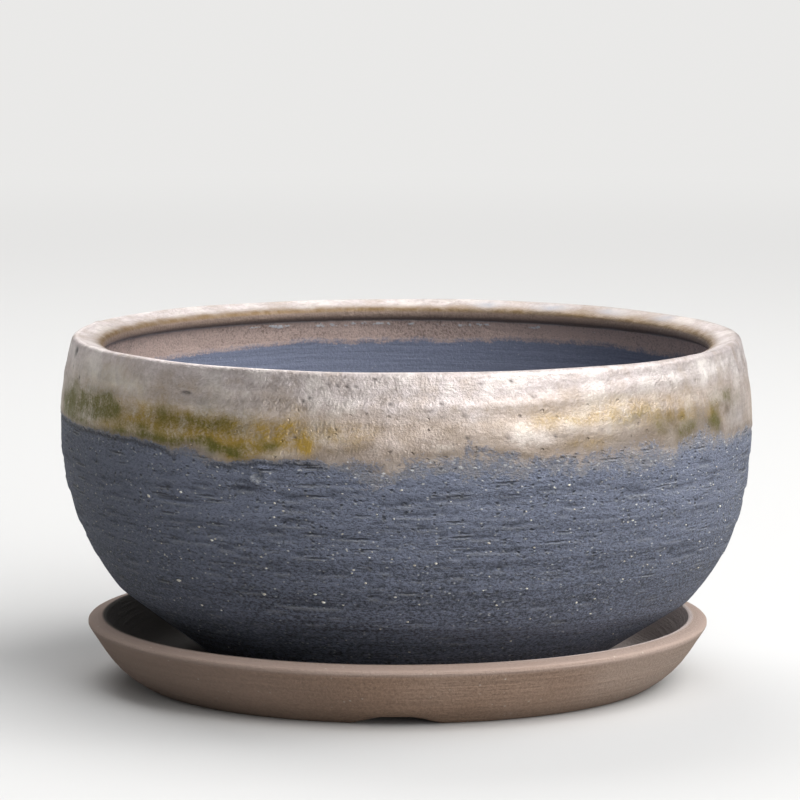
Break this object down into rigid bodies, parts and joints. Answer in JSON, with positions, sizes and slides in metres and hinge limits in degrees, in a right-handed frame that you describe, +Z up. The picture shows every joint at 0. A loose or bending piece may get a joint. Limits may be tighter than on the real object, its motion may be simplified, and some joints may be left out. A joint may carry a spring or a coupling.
{
  "type": "flower pot with saucer",
  "caption": "Bowl-shaped stoneware flower pot with a bronze-glazed rim and a drain hole, standing loose in a shallow unglazed clay saucer that catches drained water.",
  "frame": {"origin": "on the pot's axis, on the surface that the saucer stands on", "axes": "+Z up along the pot's axis, -Y to the front, where a notch in the saucer's foot shows; the saucer's own axis lies 3.3 mm to -X"},
  "size_m": [0.2807, 0.2808, 0.1409],
  "materials": {
    "saucer_clay": "matte unglazed brown clay with fine pale specks",
    "pot_clay": "matte unglazed charcoal stoneware with drag marks and grog",
    "rim_glaze": "satin bronze glaze with a metallic sheen"
  },
  "bodies": {
    "saucer": {"saucer": "saucer_clay"},
    "pot": {"pot_body": "pot_clay", "rim_glaze": "rim_glaze"}
  },
  "joints": [
    {"name": "pot_lift", "type": "slide", "parent": "saucer", "child": "pot", "axis": [0, 0, 1], "range_m": [0, 0.06]}
  ]
}
